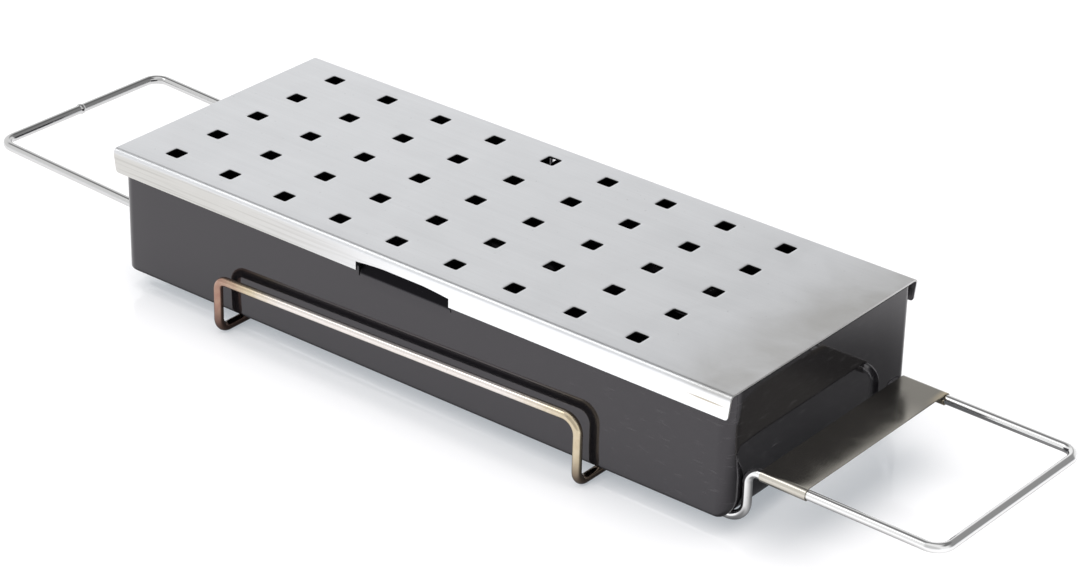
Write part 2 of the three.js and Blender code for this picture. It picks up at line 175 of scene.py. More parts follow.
def grid_faces(rows, columns, wrap=False):
    """Quads between neighbours of a grid whose point (row, column) has number row * columns + column.

    With wrap the last column is joined to the first.
    """
    row = np.arange(rows - 1)[:, None] * columns
    here = np.arange(columns if wrap else columns - 1)[None, :]
    beside = (here + 1) % columns
    quads = [row + here, row + beside, row + columns + beside, row + columns + here]
    return np.stack(quads, axis=-1).reshape(-1, 4)


def weld(points, faces, near):
    """Makes one point of those that lie in the same cell of a lattice with the step near.

    The lattice is shifted, so that round lengths do not fall on its borders. Returns the faces between the
    points that are kept, and the numbers of those points.
    """
    shift = 0.37
    cells = np.floor(points / near + shift).astype(np.int64)
    _, first, number = np.unique(cells, axis=0, return_index=True, return_inverse=True)
    return number.reshape(-1)[faces], first


def cap(start, sides, pole):
    """Faces from a ring of points, numbered from start, to a pole: quads that have the pole twice."""
    here = np.arange(sides)
    middle = np.full(sides, pole)
    return np.stack([start + (here + 1) % sides, start + here, middle, middle], axis=-1)


def close_sheet(outer, inner, faces):
    """A closed wall from an open surface and the same surface moved inward.

    Every edge that belongs to one face only gets a quad from the outer to the inner point at both its ends.
    """
    count = len(outer)
    edges = np.stack([faces, np.roll(faces, -1, axis=1)], axis=-1).reshape(-1, 2)
    edges = edges[edges[:, 0] != edges[:, 1]]
    code = np.sort(edges, axis=1) @ np.array([count, 1])
    _, place, times = np.unique(code, return_index=True, return_counts=True)
    rim = edges[place[times == 1]]
    wall = np.stack([rim[:, 1], rim[:, 0], rim[:, 0] + count, rim[:, 1] + count], axis=-1)
    return np.concatenate([outer, inner]), np.concatenate([faces, faces[:, ::-1] + count, wall])


def polygons(faces):
    """Quads as they are, and a triangle for each quad that has one point twice in a row.

    Such a quad is turned so that its doubled point comes last. Quads of fewer than three points are left out.
    """
    doubled = faces == np.roll(faces, -1, axis=1)
    times = doubled.sum(axis=1)
    folded = (faces[:, 0] == faces[:, 2]) | (faces[:, 1] == faces[:, 3])
    whole, thin = (times == 0) & ~folded, (times == 1) & ~folded
    order = (doubled[thin].argmax(axis=1)[:, None] + np.array([1, 2, 3])) % 4
    return faces[whole].tolist() + np.take_along_axis(faces[thin], order, axis=1).tolist()


def new_piece(name, points, faces, material, attributes=None):
    """A mesh object at the origin from arrays of points and faces, smooth shaded, with point attributes."""
    mesh = bpy.data.meshes.new(name)
    mesh.from_pydata(points.tolist(), [], polygons(faces))
    mesh.polygons.foreach_set("use_smooth", np.ones(len(mesh.polygons), dtype=bool))
    for label, values in (attributes or {}).items():
        layer = mesh.attributes.new(label, "FLOAT", "POINT")
        layer.data.foreach_set("value", np.asarray(values, dtype=np.float32))
    mesh.materials.append(material)
    mesh.update()
    piece = bpy.data.objects.new(name, mesh)
    bpy.context.scene.collection.objects.link(piece)
    return piece


def round_edges(piece, width, limit=40):
    """Rounds the sharp edges of a piece with a Bevel modifier and keeps its flat faces flat in shading."""
    bevel = piece.modifiers.new("Rounded edges", "BEVEL")
    bevel.width = width
    bevel.segments = 2
    bevel.limit_method = "ANGLE"
    bevel.angle_limit = math.radians(limit)
    bevel.harden_normals = True


def carry(piece, body, node):
    """The piece stands for a node: the node is hidden and the piece rides on its body."""
    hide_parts(node)
    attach(piece, body)


# Wires


def unit(vectors):
    """Vectors with the same directions and the length 1."""
    return vectors / np.linalg.norm(vectors, axis=-1, keepdims=True)


def centreline(corners, bends, arc_steps=14, run_step=5.0 * MM):
    """A closed line through corners, each rounded by an arc of its own radius.

    An arc starts at radius * tan(half the turn) before its corner, and its point at an angle t is the start
    plus radius * sin t along the way in plus radius * (1 - cos t) toward the way out. The first corner has no
    bend and is both start and end. The points are dense beside it, where the weld's collar is. Returns
    points, unit directions and the way gone.
    """
    corners = np.array(corners, dtype=float)
    closed = np.concatenate([corners, corners[:1]])
    points = [corners[:1]]
    for place in range(1, len(corners)):
        before, after = unit(closed[place] - closed[place - 1]), unit(closed[place + 1] - closed[place])
        turn = math.acos(before @ after)
        toward = unit(after - before * (before @ after))
        start = closed[place] - before * bends[place] * math.tan(turn / 2)
        step = np.linspace(0, turn, arc_steps + 1)[:, None]
        points.append(start + bends[place] * (np.sin(step) * before + (1 - np.cos(step)) * toward))
    points.append(corners[:1])
    points = np.concatenate(points)
    way = np.concatenate([[0], np.cumsum(np.linalg.norm(np.diff(points, axis=0), axis=1))])
    beside_weld = np.linspace(0, 2.4 * MM, 17)
    stations = np.unique(np.concatenate([
        way, np.arange(0, way[-1], run_step), beside_weld, way[-1] - beside_weld,
    ]).round(7))
    stations = stations[(stations >= 0) & (stations <= way[-1])]
    stations[-1] = way[-1]
    line = np.stack([np.interp(stations, way, points[:, axis]) for axis in range(3)], axis=-1)
    direction = unit(np.gradient(line, stations, axis=0))
    direction[0] = direction[-1] = unit(corners[1] - corners[0])
    return line, direction, stations


def sweep(line, direction, way, radius, sides=28):
    """A closed round tube: at each station a ring of points round the line.

    Their distance from the line is a function of the way and of the place in the ring. The ring's first axis
    is carried from station to station by taking out its part along the new direction, and the turn that is
    left after the whole way round is spread evenly over the way.
    """
    axes = [unit(np.cross(direction[0], (0.0, 0.0, 1.0)))]
    for heading in direction[1:]:
        axes.append(unit(axes[-1] - heading * (axes[-1] @ heading)))
    axes = np.array(axes)
    across = np.cross(direction, axes)
    left_over = math.atan2(axes[-1] @ across[0], axes[-1] @ axes[0])
    ring = np.linspace(0, 2 * math.pi, sides, endpoint=False)
    turn = ring[None, :] - (left_over * way / way[-1])[:, None]
    off = np.cos(turn)[..., None] * axes[:, None] + np.sin(turn)[..., None] * across[:, None]
    points = line[:, None] + radius(way[:, None], ring[None, :])[..., None] * off
    rings = len(line) - 1
    return points[:rings].reshape(-1, 3), grid_faces(rings + 1, sides, wrap=True) % (rings * sides)


def wire_radius(diameter, total, proud, half, on_floor=False):
    """Radius of a wire with a squeezed-out, slightly uneven collar at the place where its ends are welded.

    Within half of the start or end it grows by proud times the root of 1 minus the square of the share of
    half. On the floor the collar fades to nothing at the wire's lowest line and is twice as high on top.
    """

    def radius(way, ring):
        off = np.minimum(way, total - way) / half
        uneven = 1 + 0.22 * np.sin(ring * 2 + 0.6) + 0.10 * np.sin(ring * 5)
        lump = 1 - np.sin(ring) if on_floor else uneven
        return diameter / 2 + proud * lump * np.sqrt(np.clip(1 - off * off, 0, None))

    return radius


def bead(centre, half, rings=12, sides=20):
    """A weld bead: a slightly uneven ellipsoid with the given half axes, closed by triangles at its poles."""
    high = np.linspace(-QUARTER, QUARTER, rings)[1:-1, None]
    turn = np.linspace(0, 2 * math.pi, sides, endpoint=False)[None, :]
    wide = np.cos(high) * (1 + 0.06 * np.sin(3 * turn + 1.0) * np.cos(high))
    ball = np.stack([wide * np.cos(turn), wide * np.sin(turn), np.sin(high) + 0 * turn], axis=-1)
    ball = ball.reshape(-1, 3)
    points = np.concatenate([ball, [[0, 0, -1], [0, 0, 1]]]) * half + centre
    south, north = cap(0, sides, len(ball)), cap((rings - 3) * sides, sides, len(ball) + 1)
    return points, np.concatenate([grid_faces(rings - 2, sides, wrap=True), south, north[:, [1, 0, 2, 3]]])


def turned(points, sizes):
    """Points of the handle loop's own frame after its turn about Z and its shift toward the front."""
    cosine, sine = math.cos(sizes.turn), math.sin(sizes.turn)
    spin = np.array([[cosine, -sine, 0], [sine, cosine, 0], [0, 0, 1]])
    return points @ spin.T + np.array([0, sizes.shift, 0])


# Materials

# Linear colours of wear, dust, painted shade, painted highlight and the table
STEEL_DUST = (0.35, 0.35, 0.36)
HOLE_RIM_SHADE = (0.10, 0.10, 0.10)
SKIRT_PAINTED_HIGHLIGHT = (0.955, 0.965, 0.98)
SKIRT_PAINTED_SHADE = (0.545, 0.535, 0.50)
DRAWN_STREAK = (0.36, 0.355, 0.33)
HANDLED_STEEL = (0.475, 0.465, 0.445)
YELLOW_SCRATCH = (0.42, 0.36, 0.24)
COAT_DUST = (0.30, 0.30, 0.31)
COAT_SCUFF = (0.12, 0.12, 0.125)
WIRE_DUST = (0.35, 0.34, 0.33)
RAIL_DUST = (0.25, 0.22, 0.19)
TABLE_WHITE = (0.65, 0.62, 0.605)
TABLE_GLOW = (0.90, 0.98, 1.06)

VALUE, VECTOR, COLOUR = "NodeSocketFloat", "NodeSocketVector", "NodeSocketColor"


class Nodes:
    """The node tree of a material, a world or a shared group. Its calls take sockets or plain values."""

    def __init__(self, tree):
        self.tree = tree

    def put(self, value, socket):
        """Links a socket to an input, or writes a plain value there."""
        if isinstance(value, bpy.types.NodeSocket):
            self.tree.links.new(value, socket)
        else:
            socket.default_value = (*value, 1) if socket.type == "RGBA" else value

    def add(self, kind, values=None, **settings):
        """The outputs of a new node, made with its settings and with inputs given by name or place."""
        node = self.tree.nodes.new(kind)
        for label, value in settings.items():
            setattr(node, label, value)
        for place, value in (values or {}).items():
            self.put(value, node.inputs[place])
        return node.outputs

    def maths(self, operation, *values, clamp=False):
        """The result of a Math node."""
        return self.add("ShaderNodeMath", dict(enumerate(values)), operation=operation, use_clamp=clamp)[0]

    def chain(self, operation, first, *others):
        """The result of a Math operation over all values."""
        for other in others:
            first = self.maths(operation, first, other)
        return first

    def times(self, *values):
        """The product of all values."""
        return self.chain("MULTIPLY", *values)

    def rest(self, value):
        """What a value leaves of 1."""
        return self.maths("SUBTRACT", 1.0, value)

    def vector(self, operation, *values):
        """The result of a Vector Math node, which for a length is a plain value."""
        outputs = self.add("ShaderNodeVectorMath", dict(enumerate(values)), operation=operation)
        return outputs["Value" if operation == "LENGTH" else "Vector"]

    def rays(self):
        """1 for what mirrors see, and 1 for what the camera or mirrors see."""
        path = self.add("ShaderNodeLightPath")
        return path["Is Glossy Ray"], self.maths("MAXIMUM", path["Is Camera Ray"], path["Is Glossy Ray"])

    def stretched(self, vector, scale, place=(0, 0, 0)):
        """A vector multiplied along each axis and moved."""
        return self.add("ShaderNodeMapping", {"Vector": vector, "Location": place, "Scale": scale})[0]

    def axes(self, vector):
        """X, Y and Z of a vector."""
        return tuple(self.add("ShaderNodeSeparateXYZ", {0: vector}))

    def noise(self, vector, scale, detail, roughness=0.5, distortion=0.0):
        """Values of a noise texture."""
        return self.add("ShaderNodeTexNoise", {
            "Vector": vector, "Scale": scale, "Detail": detail, "Roughness": roughness,
            "Distortion": distortion,
        })["Fac"]

    def scaled(self, value, low, high):
        """A value from 0 to 1 mapped to the range from low to high."""
        return self.add("ShaderNodeMapRange", {"Value": value, "To Min": low, "To Max": high})[0]

    def step(self, value, start, end):
        """0 at start, 1 at end, and a smooth step between them. A falling step has start above end."""
        limits = {"Value": value, "From Min": start, "From Max": end}
        return self.add("ShaderNodeMapRange", limits, interpolation_type="SMOOTHSTEP")[0]

    def mix(self, share, first, second):
        """A colour between two others."""
        return self.add("ShaderNodeMix", {0: share, 6: first, 7: second}, data_type="RGBA")[2]

    def layers(self, tone, *covers):
        """A colour with others laid over it. Each has a mask, the most that it covers, and a colour."""
        for mask, most, cover in covers:
            tone = self.mix(self.times(mask, most), tone, cover)
        return tone

    def group(self, label, **values):
        """The outputs of a shared group. In the names of its inputs a space is written as an underscore."""
        values = {name.replace("_", " "): value for name, value in values.items()}
        return self.add("ShaderNodeGroup", values, node_tree=bpy.data.node_groups[label])


class Finish(Nodes):
    """A material's nodes, with the inputs of its Principled BSDF and the object coordinates."""

    def __init__(self, label):
        self.material = bpy.data.materials.new(label)
        self.material.use_nodes = True
        super().__init__(self.material.node_tree)
        self.shader = self.tree.nodes["Principled BSDF"].inputs
        self.place = self.add("ShaderNodeTexCoord")["Object"]

    def apart(self, centre, reach):
        """How far the surface lies from a centre, as the length of its shares of the reach along X, Y and Z.

        An axis whose reach is 0 does not count.
        """
        scale = [1 / way if way else 0 for way in reach]
        moved = [-middle * share for middle, share in zip(centre, scale)]
        return self.vector("LENGTH", self.stretched(self.place, scale, moved))

    def grain(self, along, across):
        """The shared brushed grain on this material."""
        return self.group("Brushed grain", Vector=self.place, Along=along, Across=across)["Value"]

    def marks(self, size, speck_size, speck_limit):
        """Cloud and Speck of the shared smudges on this material."""
        outputs = self.group(
            "Smudges and specks", Vector=self.place, Size=size, Speck_size=speck_size, Speck_limit=speck_limit
        )
        return outputs["Cloud"], outputs["Speck"]

    def relief(self, height, strength, depth):
        """A normal from a height."""
        return self.add("ShaderNodeBump", {"Height": height, "Strength": strength, "Distance": depth})[0]

    def metal(self, tone, rough, height, strength):
        """Makes bare metal of the material, with a fine relief from a height, and returns it."""
        relief = self.relief(height, strength, 0.02 * MM)
        return self.dress({"Base Color": tone, "Metallic": 1.0, "Roughness": rough, "Normal": relief})

    def dress(self, values):
        """Gives the Principled BSDF its values and returns the material."""
        for label, value in values.items():
            self.put(value, self.shader[label])
        return self.material


def new_group(label, inputs, outputs):
    """The nodes of an empty shared group, with the sockets that come in and those that go out.

    An input is given by its default value, or by its kind where it has none.
    """
    group = bpy.data.node_groups.new(label, "ShaderNodeTree")
    for name, given in inputs.items():
        plain = not isinstance(given, str)
        socket = group.interface.new_socket(name, in_out="INPUT", socket_type=VALUE if plain else given)
        if plain:
            socket.default_value = given
    for name, kind in outputs.items():
        group.interface.new_socket(name, in_out="OUTPUT", socket_type=kind)
    return Nodes(group), group.nodes.new("NodeGroupInput").outputs, group.nodes.new("NodeGroupOutput").inputs


def brushed_group():
    """Fine parallel scratches: noise packed by Along and Across, as the sum of a fine and a broad layer."""
    nodes, source, target = new_group(
        "Brushed grain", {"Vector": VECTOR, "Along": 20.0, "Across": 2500.0}, {"Value": VALUE}
    )
    fine_share, broad_share = 0.6, 0.4
    along, across = source["Along"], source["Across"]
    packing = nodes.add("ShaderNodeCombineXYZ", {"X": along, "Y": across, "Z": across})[0]
    fine = nodes.vector("MULTIPLY", source["Vector"], packing)
    broad = nodes.stretched(fine, (0.35, 0.28, 0.28), (3, 5, 7))
    broad_part = nodes.times(nodes.noise(broad, 1.0, 3.0), broad_share)
    both = nodes.maths("MULTIPLY_ADD", nodes.noise(fine, 1.0, 2.0), fine_share, broad_part)
    nodes.put(both, target["Value"])


def smudge_group():
    """Finger marks and dust: Cloud is broad and soft, Speck is 1 on small sparse spots."""
    nodes, source, target = new_group(
        "Smudges and specks",
        {"Vector": VECTOR, "Size": 40.0, "Speck size": 900.0, "Speck limit": 0.72},
        {"Cloud": VALUE, "Speck": VALUE},
    )
    speck_edge = 14.0
    cloud = nodes.noise(source["Vector"], source["Size"], 5.0, 0.55, 0.6)
    soft = nodes.add("ShaderNodeMapRange", {"Value": cloud, "From Min": 0.35, "From Max": 0.70})[0]
    nodes.put(soft, target["Cloud"])
    dust = nodes.noise(source["Vector"], source["Speck size"], 1.0)
    over = nodes.maths("SUBTRACT", dust, source["Speck limit"])
    nodes.put(nodes.maths("MULTIPLY", over, speck_edge, clamp=True), target["Speck"])


def tint_group():
    """Heat tint of steel: clean at an Amount of 0, straw at a half and copper at 1."""
    nodes, source, target = new_group(
        "Heat tint",
        {"Vector": VECTOR, "Amount": 0.0, "Clean": COLOUR, "Straw": COLOUR, "Copper": COLOUR, "Mottle": 0.25},
        {"Color": COLOUR},
    )
    patches = nodes.noise(source["Vector"], 420.0, 4.0, 0.6)
    uneven = nodes.times(nodes.maths("SUBTRACT", patches, 0.5), source["Mottle"])
    amount = nodes.maths("ADD", source["Amount"], uneven, clamp=True)
    to_straw = nodes.maths("MULTIPLY", amount, 2.0, clamp=True)
    to_copper = nodes.maths("MULTIPLY", nodes.maths("SUBTRACT", amount, 0.5), 2.0, clamp=True)
    straw = nodes.mix(to_straw, source["Clean"], source["Straw"])
    nodes.put(nodes.mix(to_copper, straw, source["Copper"]), target["Color"])


def darker(tone, share):
    """A colour with each part cut to a share."""
    return tuple(part * share for part in tone)


def lid_material(colours):
    """Satin stainless sheet with grain along it, smudges, painted shade on the hole rims and a handled strip
    at the right.

    Its skirts are darkened with painted shade and streaked at the left, and lightened with a painted
    highlight at the right, where they have one thin scratch.
    """
    look = Finish("lid_satin_steel")
    x, _, z = look.axes(look.place)
    grain = look.grain(26.0, 2300.0)
    cloud, speck = look.marks(34.0, 620.0, 0.73)
    smear = look.times(cloud, look.scaled(look.step(x, 20 * MM, 150 * MM), 0.10, 0.22))
    # Painted shade: a dark rim where the sheet turns down into each hole
    hole_rim_shade = look.step(look.add("ShaderNodeAttribute", attribute_name="edge")["Fac"], 0.14, 0.0)
    skirt = look.step(z, 60.0 * MM, 58.5 * MM)
    # Painted highlight: the right part of the skirts is lightened
    bright = look.times(skirt, look.step(x, -50 * MM, 20 * MM))
    # Painted shade: the left part of the skirts is darkened, and the drawn streaks lie within it
    dull = look.times(skirt, look.step(x, 30 * MM, -110 * MM))
    drawn = look.noise(look.stretched(look.place, (14.0, 0.0, 900.0)), 1.0, 2.0)
    streak = look.times(dull, look.step(drawn, 0.48, 0.62))
    touched = look.scaled(cloud, 0.38, 0.80)
    handled = look.times(look.step(x, 112 * MM, 150 * MM), look.rest(skirt), touched)
    scratch = look.step(look.apart((140 * MM, 0, 56.18 * MM), (11.1 * MM, 0, 0.4545 * MM)), 1.0, 0.4)
    tone = look.layers(
        colours.lid,
        (grain, 0.5, darker(colours.lid, 0.80)),
        (smear, 1.0, darker(colours.lid, 0.66)),
        (speck, 0.25, STEEL_DUST),
        (hole_rim_shade, 1.0, HOLE_RIM_SHADE),
        (bright, 0.92, SKIRT_PAINTED_HIGHLIGHT),
        (dull, 0.75, SKIRT_PAINTED_SHADE),
        (streak, 0.35, DRAWN_STREAK),
        (handled, 1.0, HANDLED_STEEL),
        (scratch, 0.8, YELLOW_SCRATCH),
    )
    rough = look.maths("ADD", look.scaled(grain, 0.27, 0.37), look.times(smear, 0.10))
    return look.metal(tone, rough, grain, 0.25)


def coat_material(colours):
    """Black gloss coat with a faint orange peel, small light specks and scuffs on its right part.

    The tabs behind the finger notches are painted shade: rougher, and metallic with the coat's near-black
    colour, so that they reflect almost nothing.
    """
    look = Finish("tray_black_coat")
    x, _, z = look.axes(look.place)
    cloud, speck = look.marks(60.0, 1100.0, 0.775)
    streaks = look.noise(look.stretched(look.place, (120.0, 120.0, 900.0)), 1.0, 3.0, 0.6)
    scuff = look.times(look.step(streaks, 0.55, 0.78), look.step(x, 20 * MM, 140 * MM))
    off_middle = look.maths("ABSOLUTE", look.maths("SUBTRACT", x, NOTCH_MIDDLE))
    # Painted shade on the tabs: metallic with the near-black coat colour, so they show almost no reflection
    tab = look.times(look.step(off_middle, 22.6 * MM, 22.0 * MM), look.step(z, 48.6 * MM, 49.6 * MM))
    tone = look.layers(colours.coat, (speck, 0.22, COAT_DUST), (scuff, 0.30, COAT_SCUFF))
    gloss = look.scaled(cloud, 0.045, 0.085)
    rough = look.chain("ADD", gloss, look.times(scuff, 0.12), look.times(tab, 0.30))
    return look.dress({
        "Base Color": tone, "Metallic": tab, "Roughness": rough, "IOR": 1.60,
        "Specular Tint": (0.98, 0.94, 1.0),
        "Normal": look.relief(look.noise(look.place, 900.0, 2.0), 0.04, 0.03 * MM),
    })


def wire_material(colours):
    """Bright wire with fine lines and dull specks, greyer beside the closing weld and at the left grip."""
    look = Finish("handle_bright_wire")
    cloud, speck = look.marks(90.0, 900.0, 0.74)
    welded = look.add("ShaderNodeAttribute", attribute_name="weld")["Fac"]
    x = look.axes(look.place)[0]
    grip = look.step(x, -100 * MM, -160 * MM)
    dull = look.maths("MAXIMUM", look.times(welded, 0.25), look.times(grip, 0.62))
    tone = look.layers(colours.wire, (dull, 1.0, darker(colours.wire, 0.55)), (speck, 0.35, WIRE_DUST))
    return look.metal(tone, look.scaled(cloud, 0.06, 0.13), look.noise(look.place, 2600.0, 1.0), 0.05)


def rail_material(colours):
    """Bright wire with heat tint: copper on the left posts, straw on the right posts, painted shade near the
    floor.
    """
    look = Finish("rail_tinted_wire")
    x, _, z = look.axes(look.place)
    cloud, speck = look.marks(110.0, 900.0, 0.73)
    left = look.times(look.step(x, -55 * MM, -96 * MM), 0.98)
    right = look.times(look.step(x, 45 * MM, 88 * MM), 0.50)
    tint = look.group(
        "Heat tint", Vector=look.place, Amount=look.maths("ADD", left, right), Mottle=0.30,
        Clean=colours.rail, Straw=colours.straw, Copper=colours.copper,
    )["Color"]
    # Painted shade: the wire is darkened near the floor, under and beside the tray
    low = look.step(z, 16 * MM, 3 * MM)
    tone = look.layers(tint, (low, 0.85, colours.floor_shade), (speck, 0.4, RAIL_DUST))
    return look.metal(tone, look.scaled(cloud, 0.09, 0.19), look.noise(look.place, 2600.0, 1.0), 0.06)


def plate_material(colours):
    """Polished thin sheet, faint smears, painted shade over its rear end and a brass-coloured border."""
    look = Finish("plate_polished_steel")
    x, y, _ = look.axes(look.place)
    grain = look.grain(1400.0, 60.0)
    cloud, _ = look.marks(70.0, 800.0, 0.75)
    # Painted shade: the rear end of the plate is darkened
    rear = look.step(y, 6 * MM, 30 * MM)
    border = look.times(look.step(y, 26 * MM, 40 * MM), look.step(x, 175.5 * MM, 179 * MM))
    tone = look.layers(
        colours.plate,
        (grain, 0.4, darker(colours.plate, 0.85)),
        (cloud, 0.30, darker(colours.plate, 0.75)),
        (rear, 1.0, darker(colours.plate, 0.46)),
        (border, 0.8, colours.straw),
    )
    rough = look.maths("ADD", look.scaled(grain, 0.11, 0.16), look.times(cloud, 0.07))
    return look.metal(tone, rough, grain, 0.06)


# Lid

HOLE_COLUMNS, HOLE_ROWS = 9, 5
# The square of sheet round a hole: half its side, and the steps along a side
BLOCK, BLOCK_STEPS = 4.6 * MM, 10
# A hole's edge: how far it is drawn down, how far that reaches, and the gap that counts as 1 for its painted
# dark rim of shade
EDGE_DROP, DROP_REACH, RIM_UNIT = 0.10 * MM, 0.35 * MM, 2.0 * MM
# From a notch's end to the first line inside it
NOTCH_LINE = 0.3 * MM


def section_point(v, depth, bend):
    """Y and Z of the lid's sheet at a way v across it, counted from the middle along its outer surface.

    Up to half the width minus bend it is flat, then it turns down round the bend's centre by v beyond that
    over bend, and past a quarter turn it runs straight down. depth is how far inside the outer surface the
    point lies.
    """
    over = np.abs(v) - (LID_HALF[1] - bend)
    arc = np.clip(over / bend, 0, QUARTER)
    down = np.clip(over - bend * QUARTER, 0, None)
    flat = np.minimum(np.abs(v), LID_HALF[1] - bend)
    radius = bend - depth
    return np.sign(v) * (flat + radius * np.sin(arc)), LID_HIGH[2] - bend + radius * np.cos(arc) - down


def skirt_grid(flat, sizes, depth):
    """Points of the lid's sheet for places on it, given by X along it and the way v across it.

    In the skirts, lines in the end fifths move in with the slant and with the lower corner's arc. Inside a
    notch the rows are pressed together so that the last one follows its edge, and the outermost line at each
    side moves onto its wall.
    """
    x, v = flat.T
    corner, height = sizes.skirt_corner, SKIRT - sizes.lid_bend
    bend_end = LID_HALF[1] - sizes.lid_bend + sizes.lid_bend * QUARTER
    share_down = np.clip((np.abs(v) - bend_end) / height, 0, 1)
    drop = share_down * height
    lift = np.clip(corner - (height - drop), 0, corner)
    inset = sizes.skirt_slant * share_down + corner - np.sqrt(np.clip(corner**2 - lift**2, 0, None))
    off, end_share = x - LID_MIDDLE, 0.2
    near_end = np.clip((np.abs(off) / LID_HALF[0] - 1) / end_share + 1, 0, 1)
    moved = x - np.sign(off) * near_end * inset
    off_notch = x - sizes.notch_middle
    share_out = np.abs(off_notch) / sizes.notch_half
    inside = share_out < 0.999
    notch_top = sizes.notch_high + sizes.notch_arch * (1 - np.clip(share_out, 0, 1) ** 2)
    kept = np.where(inside, 1 - notch_top / height, 1.0)
    outermost = inside & (share_out > 1 - 1.2 * NOTCH_LINE / sizes.notch_half)
    wall_x = sizes.notch_middle + np.sign(off_notch) * sizes.notch_half
    moved = np.where(outermost, moved + (wall_x - moved) * share_down, moved)
    pressed = np.where(share_down > 0, np.sign(v) * (bend_end + drop * kept), v)
    return np.stack([moved, *section_point(pressed, depth, sizes.lid_bend)], axis=-1)


def four_sides(along, out):
    """A closed outline from its front side, which is given by X and Y and turned by a quarter three times."""
    sides = ((along, out), (-out, along), (-along, -out), (out, -along))
    return np.concatenate([np.stack(side, axis=-1) for side in sides])


def hole_block(sizes):
    """Flat places round a punched hole's middle, from the border of its square of sheet in to its edge.

    Both outlines are walked from corner to corner in equal numbers of steps. A ring at a share t lies at the
    border plus t times the way to the hole's outline. Each place also gets a way down: the edge's drop times
    e to minus the square of its gap to the hole over the drop's reach.
    """
    border = four_sides(np.linspace(-1, 1, BLOCK_STEPS + 1)[:-1], -np.ones(BLOCK_STEPS)) * BLOCK
    half, corner = sizes.hole_side / 2, sizes.hole_corner
    core = half - corner
    turn = np.array([0.0, 0.25, 0.5]) * QUARTER
    straight = np.linspace(-core, core, BLOCK_STEPS - 3)[1:-1]
    run = np.concatenate([-core - corner * np.sin(turn[::-1]), straight, core + corner * np.sin(turn[:-1])])
    arcs = [-core - corner * np.cos(part) for part in (turn[::-1], turn[:-1])]
    hole = four_sides(run, np.concatenate([arcs[0], 0 * straight - half, arcs[1]]))
    shares = np.array([0.0, 0.35, 0.65, 0.85, 0.94, 0.985, 1.0])[:, None, None]
    rings = border * (1 - shares) + hole * shares
    gap = np.linalg.norm(rings - hole, axis=-1).ravel()
    drop = EDGE_DROP * np.exp(-(gap / DROP_REACH) ** 2)
    return rings.reshape(-1, 2), drop, gap / RIM_UNIT, grid_faces(len(shares), len(hole), wrap=True)


def lid_lines(columns, rows, sizes):
    """Places of the lid's lines along X and across it, denser at holes, notches, ends and bends."""
    steps = np.linspace(-BLOCK, BLOCK, BLOCK_STEPS + 1)
    half = sizes.notch_half
    notch = sizes.notch_middle + np.array([-half, NOTCH_LINE - half, half - NOTCH_LINE, half])
    ends = np.array([0, 0.6, 1.6, 4, 9]) * MM
    x = np.unique(np.concatenate([
        (columns[:, None] + steps).ravel(), notch, LID_LOW[0] + ends, LID_HIGH[0] - ends,
        np.arange(LID_HIGH[0] - 46 * MM, LID_HIGH[0] - 10 * MM, 4 * MM),
    ]).round(8))
    crowded = np.concatenate([[False], np.diff(x) < 0.12 * MM])
    bend_start, bend_way = LID_HALF[1] - sizes.lid_bend, sizes.lid_bend * QUARTER
    low = SKIRT - sizes.lid_bend - sizes.skirt_corner * (1 - np.sin(np.linspace(0, QUARTER, 9)))
    outer = bend_start + np.concatenate([
        bend_way * np.linspace(0, 1, 11), bend_way + np.linspace(0, low[0], 5)[1:], bend_way + low[1:],
    ])
    v = np.unique(np.concatenate([(rows[:, None] + steps).ravel(), outer, -outer]).round(8))
    return x[~crowded | np.isin(x, notch.round(8))], v


class LidOperator(bpy.types.Operator):
    """Make the perforated lid with its two bent skirts."""

    bl_idname = "smoker_box.lid"
    bl_label = "Lid"

    def execute(self, context):
        sizes = context.scene.smoker_sheets
        columns = np.linspace(LID_LOW[0] + sizes.hole_left, LID_HIGH[0] - sizes.hole_right, HOLE_COLUMNS)
        rows = np.linspace(LID_LOW[1] + sizes.hole_edge, LID_HIGH[1] - sizes.hole_edge, HOLE_ROWS)
        x, v = lid_lines(columns, rows, sizes)
        grid = np.stack(np.meshgrid(x, v), axis=-1).reshape(-1, 2)
        faces = grid_faces(len(v), len(x))
        middle = grid[faces].mean(axis=1)
        in_column = (np.abs(middle[:, :1] - columns) < BLOCK).any(axis=1)
        in_row = (np.abs(middle[:, 1:] - rows) < BLOCK).any(axis=1)
        block, drop, gap, block_faces = hole_block(sizes)
        centres = np.stack(np.meshgrid(columns, rows, indexing="ij"), axis=-1).reshape(-1, 1, 2)
        start = len(grid) + len(block) * np.arange(len(centres))[:, None, None]
        flat = np.concatenate([grid, (centres + block).reshape(-1, 2)])
        faces = np.concatenate([faces[~(in_column & in_row)], (block_faces + start).reshape(-1, 4)])
        drop = np.concatenate([np.zeros(len(grid)), np.tile(drop, len(centres))])
        gap = np.concatenate([np.ones(len(grid)), np.tile(gap, len(centres))])
        outer, inner = (skirt_grid(flat, sizes, depth) for depth in (0.0, sizes.lid_sheet))
        outer[:, 2] -= drop
        faces, first = weld(flat, faces, 4e-6)
        points, faces = close_sheet(outer[first], inner[first], faces)
        look = lid_material(context.scene.smoker_finish)
        piece = new_piece("perforated_lid", points, faces, look, {"edge": np.tile(gap[first], 2)})
        round_edges(piece, 0.12 * MM)
        carry(piece, "lid", "lid")
        return {"FINISHED"}


# Tray

# Rows of a tab's grid, and its lines along X as shares of its half width
TAB_ROWS = 13
TAB_SHARES = np.sin(np.linspace(-QUARTER, QUARTER, 29))


